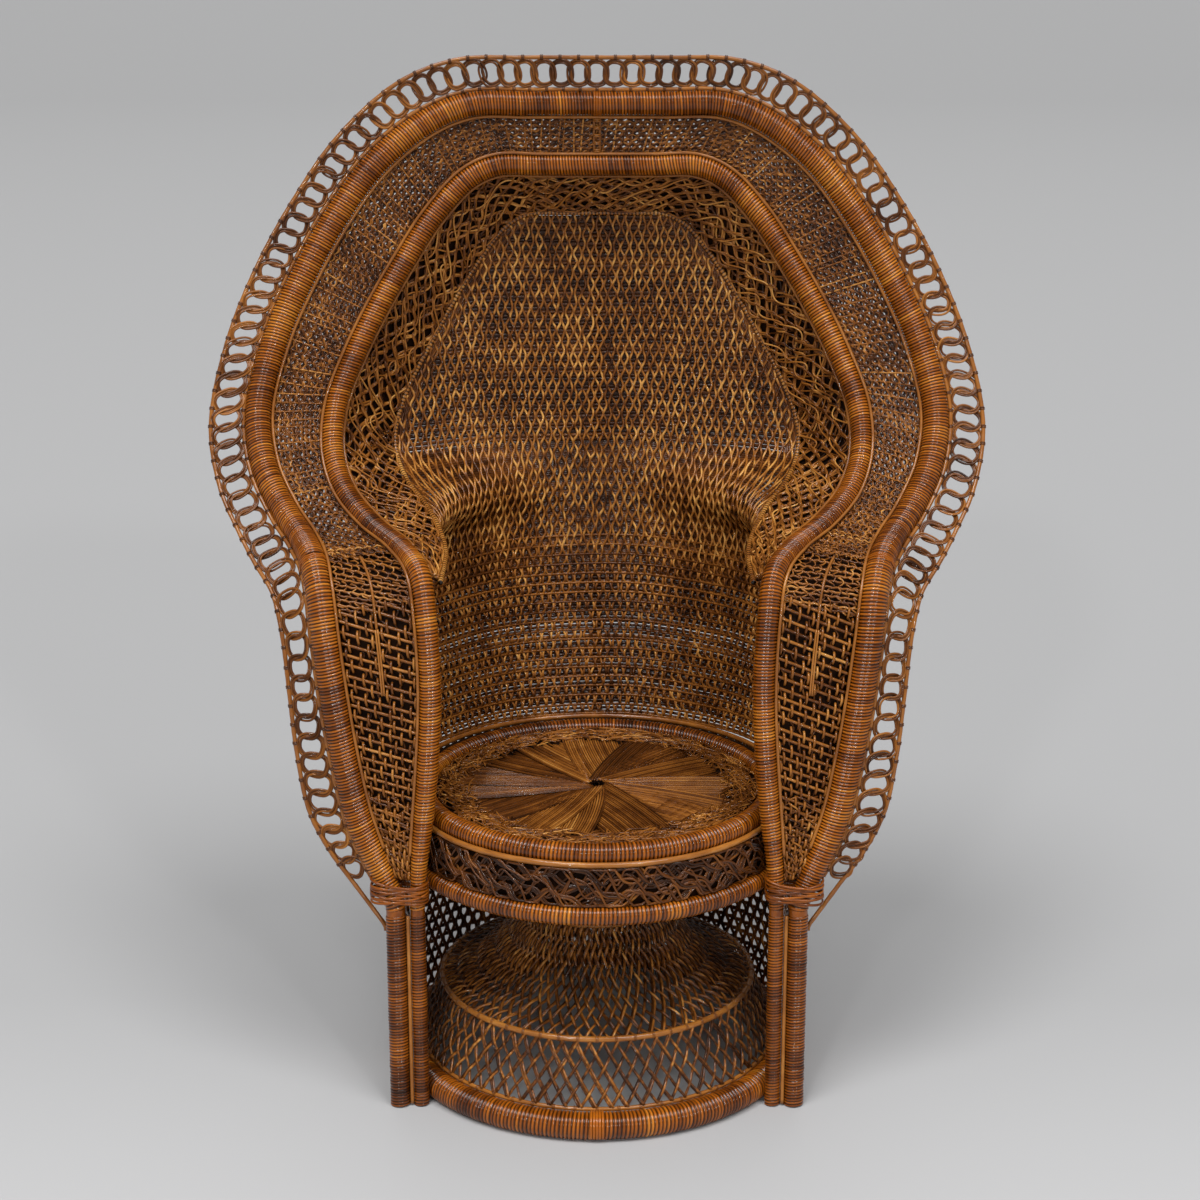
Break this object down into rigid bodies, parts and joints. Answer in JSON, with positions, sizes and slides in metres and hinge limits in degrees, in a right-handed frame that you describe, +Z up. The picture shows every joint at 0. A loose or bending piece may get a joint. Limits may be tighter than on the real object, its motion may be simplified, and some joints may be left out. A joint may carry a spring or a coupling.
{
  "type": "peacock chair",
  "caption": "Wicker peacock chair with a tall flared fan back, a looped lace border, wrapped rolls, side arms, a round seat and an hourglass pedestal.",
  "frame": {"origin": "on the floor under the middle of the chair's overall box", "axes": "+Z up, -Y the way the sitter faces, +X towards the sitter's left"},
  "size_m": [1.1397, 0.6696, 1.4672],
  "materials": {
    "wrapped_rattan": "varnished reed wound round a cane core, glossy",
    "woven_rattan": "varnished woven rattan strands, glossy",
    "rattan_rod": "varnished thin rattan rods, glossy"
  },
  "bodies": {
    "root": {"base_ring": "wrapped_rattan", "base_ring_trim_rod": "rattan_rod", "pedestal_lower_lattice": "woven_rattan", "pedestal_middle_ring": "rattan_rod", "pedestal_upper_lattice": "woven_rattan", "pedestal_waist_ring": "rattan_rod", "pedestal_top_flare": "woven_rattan", "pedestal_top_ring": "rattan_rod", "seat_ring": "wrapped_rattan", "seat_panel": "woven_rattan", "seat_trim_rod": "rattan_rod", "apron_ring": "wrapped_rattan", "apron_weave": "woven_rattan", "seat_bar_1": "rattan_rod", "seat_bar_2": "rattan_rod", "seat_bar_3": "rattan_rod", "back_inner_roll": "wrapped_rattan", "back_outer_roll": "wrapped_rattan", "back_frame_rod": "rattan_rod", "back_middle_band": "woven_rattan", "back_outer_band": "woven_rattan", "back_panel": "woven_rattan", "inner_roll_inner_rod": "rattan_rod", "inner_roll_outer_rod": "rattan_rod", "outer_roll_inner_rod": "rattan_rod", "back_lace_inner_rod": "rattan_rod", "back_lace_outer_rod": "rattan_rod", "back_lace_border": "woven_rattan", "left_arm_lace_inner_rod": "rattan_rod", "left_arm_lace_outer_rod": "rattan_rod", "left_arm_lace_border": "woven_rattan", "right_arm_lace_inner_rod": "rattan_rod", "right_arm_lace_outer_rod": "rattan_rod", "right_arm_lace_border": "woven_rattan", "left_arm_outer_roll": "wrapped_rattan", "left_arm_panel": "woven_rattan", "left_arm_centre_rod": "rattan_rod", "left_inner_post": "wrapped_rattan", "left_outer_leg": "wrapped_rattan", "left_leg_rod": "rattan_rod", "left_leg_binding": "rattan_rod", "right_arm_outer_roll": "wrapped_rattan", "right_arm_panel": "woven_rattan", "right_arm_centre_rod": "rattan_rod", "right_inner_post": "wrapped_rattan", "right_outer_leg": "wrapped_rattan", "right_leg_rod": "rattan_rod", "right_leg_binding": "rattan_rod", "rear_skirt": "woven_rattan", "rear_skirt_bottom_rod": "rattan_rod", "rear_skirt_top_rod": "rattan_rod", "rear_centre_pole": "rattan_rod"}
  },
  "joints": []
}
